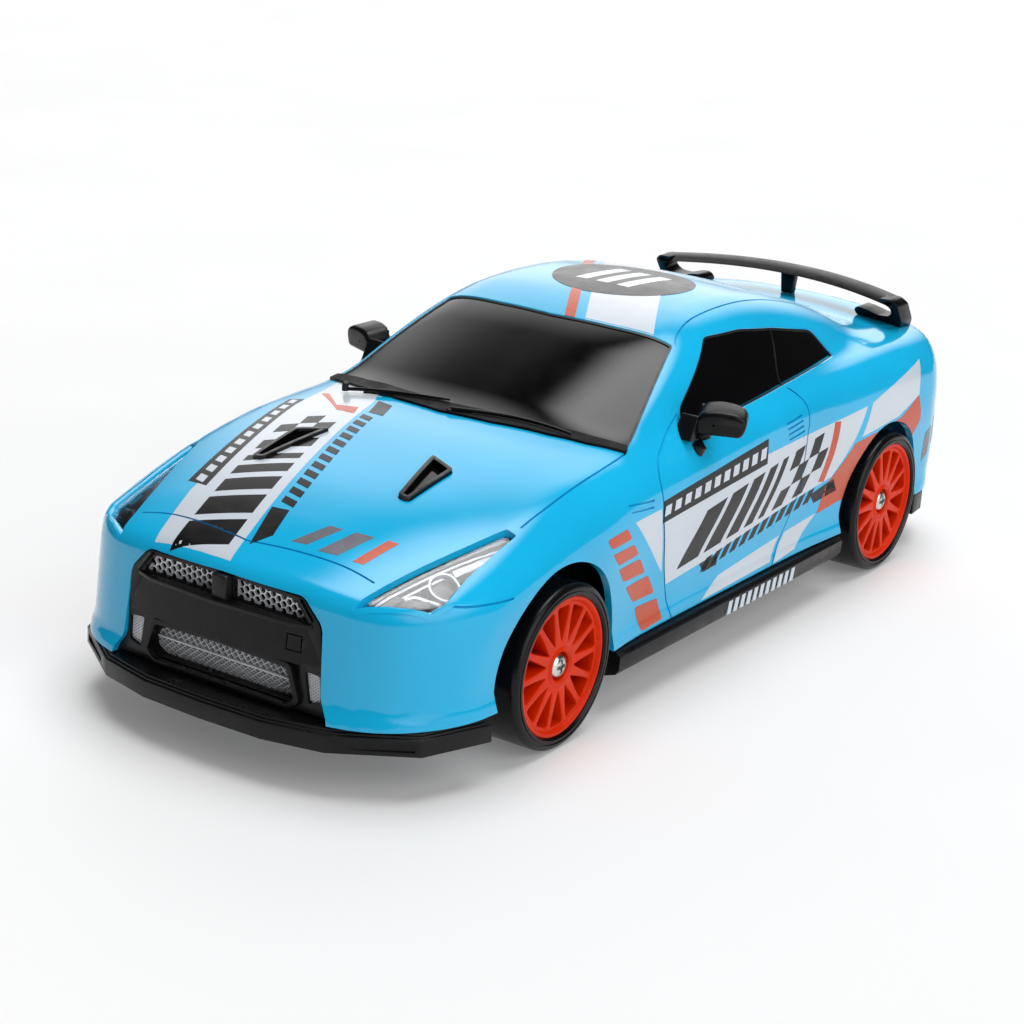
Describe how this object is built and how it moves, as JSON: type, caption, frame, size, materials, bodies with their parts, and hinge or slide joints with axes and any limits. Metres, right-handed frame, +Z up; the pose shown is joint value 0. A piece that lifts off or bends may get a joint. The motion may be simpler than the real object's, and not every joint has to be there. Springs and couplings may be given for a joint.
{
  "type": "remote control car",
  "caption": "Small-scale remote control coupe: glossy blue shell with striped graphics, smoked windows, rear wing, steering front wheels and motor-driven rear wheels.",
  "frame": {"origin": "centre of the overall box in plan, on the ground plane under the tyres", "axes": "+Z up, the nose points along -Y and the tail along +Y, +X is the car's left side"},
  "size_m": [0.086, 0.197, 0.059],
  "materials": {
    "shell_blue": "glossy injection-moulded ABS, sky blue, with applied stripe graphics",
    "smoked_window": "polished smoked black polycarbonate",
    "clear_lens": "clear polystyrene lens",
    "lamp_bowl": "vacuum-metallised silver plastic",
    "tail_red": "transparent red lens, polished",
    "trim_black": "fine-textured black plastic",
    "grille_silver": "silvered plastic mesh",
    "tyre_black": "smooth hard slick tyre, slightly glossy",
    "rim_orange": "orange-red moulded plastic",
    "steel": "zinc-plated steel",
    "white_nylon": "natural white nylon",
    "chassis_black": "moulded black ABS, satin",
    "battery_wrap": "yellow heat-shrink sleeve",
    "board_green": "green solder mask on glass-epoxy laminate"
  },
  "bodies": {
    "car": {"body_shell": "shell_blue", "windshield": "smoked_window", "rear_window": "smoked_window", "side_window_left": "smoked_window", "side_window_right": "smoked_window", "headlight_lens_left": "clear_lens", "headlight_lens_right": "clear_lens", "headlight_reflector_left": "lamp_bowl", "headlight_reflector_right": "lamp_bowl", "tail_lamp_outer_left": "tail_red", "tail_lamp_outer_right": "tail_red", "tail_lamp_inner_left": "tail_red", "tail_lamp_inner_right": "tail_red", "grille_insert": "trim_black", "grille_mesh_upper": "grille_silver", "grille_mesh_lower": "grille_silver", "front_splitter": "trim_black", "side_skirt_left": "trim_black", "side_skirt_right": "trim_black", "rear_valance": "trim_black", "mirror_left": "trim_black", "mirror_right": "trim_black", "hood_duct_left": "trim_black", "hood_duct_right": "trim_black", "cowl_panel": "trim_black", "rear_wing": "trim_black", "servo_case": "chassis_black", "drive_motor": "steel", "gearbox_case": "chassis_black", "chassis_tub": "chassis_black", "battery_pack": "battery_wrap", "battery_door": "chassis_black", "battery_door_screw": "steel", "circuit_board": "board_green", "body_screw_front": "steel", "body_screw_rear": "steel"},
    "steering_knuckle_left": {"steering_knuckle_left": "chassis_black", "stub_axle_left": "steel", "front_wheel_screw_left": "steel"},
    "steering_knuckle_right": {"steering_knuckle_right": "chassis_black", "stub_axle_right": "steel", "front_wheel_screw_right": "steel"},
    "front_wheel_left": {"front_tyre_left": "tyre_black", "front_rim_left": "rim_orange"},
    "front_wheel_right": {"front_tyre_right": "tyre_black", "front_rim_right": "rim_orange"},
    "rear_wheels": {"rear_axle": "steel", "axle_gear": "white_nylon", "rear_tyre_left": "tyre_black", "rear_tyre_right": "tyre_black", "rear_rim_left": "rim_orange", "rear_rim_right": "rim_orange", "rear_wheel_screw_left": "steel", "rear_wheel_screw_right": "steel"},
    "reduction_gear": {"compound_gear": "white_nylon"},
    "motor_shaft": {"motor_pinion": "steel"},
    "tie_rod": {"tie_rod": "white_nylon"},
    "servo_horn": {"servo_horn": "white_nylon"},
    "power_switch": {"power_switch": "chassis_black"},
    "trim_lever": {"trim_lever": "chassis_black"}
  },
  "joints": [
    {"name": "rear_axle_spin", "type": "hinge", "parent": "car", "child": "rear_wheels", "pos_m": [0, 0.06, 0.014], "axis": [1, 0, 0], "continuous": true},
    {"name": "reduction_gear_spin", "type": "hinge", "parent": "car", "child": "reduction_gear", "pos_m": [0.0085, 0.0501, 0.0175], "axis": [1, 0, 0], "continuous": true},
    {"name": "motor_shaft_spin", "type": "hinge", "parent": "car", "child": "motor_shaft", "pos_m": [0.011, 0.04123, 0.016], "axis": [1, 0, 0], "continuous": true},
    {"name": "steer_left", "type": "hinge", "parent": "car", "child": "steering_knuckle_left", "pos_m": [0.028, -0.056, 0.014], "axis": [0, 0, 1], "range_deg": [-18, 18]},
    {"name": "steer_right", "type": "hinge", "parent": "car", "child": "steering_knuckle_right", "pos_m": [-0.028, -0.056, 0.014], "axis": [0, 0, 1], "range_deg": [-18, 18]},
    {"name": "tie_rod_slide", "type": "slide", "parent": "car", "child": "tie_rod", "axis": [1, 0, 0], "range_m": [-0.00252, 0.00252]},
    {"name": "servo_horn_turn", "type": "hinge", "parent": "car", "child": "servo_horn", "pos_m": [0, -0.0544, 0.0225], "axis": [0, 0, 1], "range_deg": [-22.6, 22.6]},
    {"name": "front_left_wheel_spin", "type": "hinge", "parent": "steering_knuckle_left", "child": "front_wheel_left", "pos_m": [0.0348, -0.056, 0.014], "axis": [1, 0, 0], "continuous": true},
    {"name": "front_right_wheel_spin", "type": "hinge", "parent": "steering_knuckle_right", "child": "front_wheel_right", "pos_m": [-0.0348, -0.056, 0.014], "axis": [1, 0, 0], "continuous": true},
    {"name": "power_switch_slide", "type": "slide", "parent": "car", "child": "power_switch", "axis": [0, 1, 0], "range_m": [-0.003, 0]},
    {"name": "trim_lever_turn", "type": "hinge", "parent": "car", "child": "trim_lever", "pos_m": [0, -0.078, 0.005], "axis": [0, 0, 1], "range_deg": [-20, 20]}
  ],
  "couplings": [
    {"joint": "reduction_gear_spin", "follows": "rear_axle_spin", "ratio": -2.5},
    {"joint": "motor_shaft_spin", "follows": "rear_axle_spin", "ratio": 8.75},
    {"joint": "steer_right", "follows": "steer_left", "ratio": 1},
    {"joint": "tie_rod_slide", "follows": "steer_left", "m_per_rad": -0.008},
    {"joint": "servo_horn_turn", "follows": "steer_left", "ratio": 1.25}
  ]
}
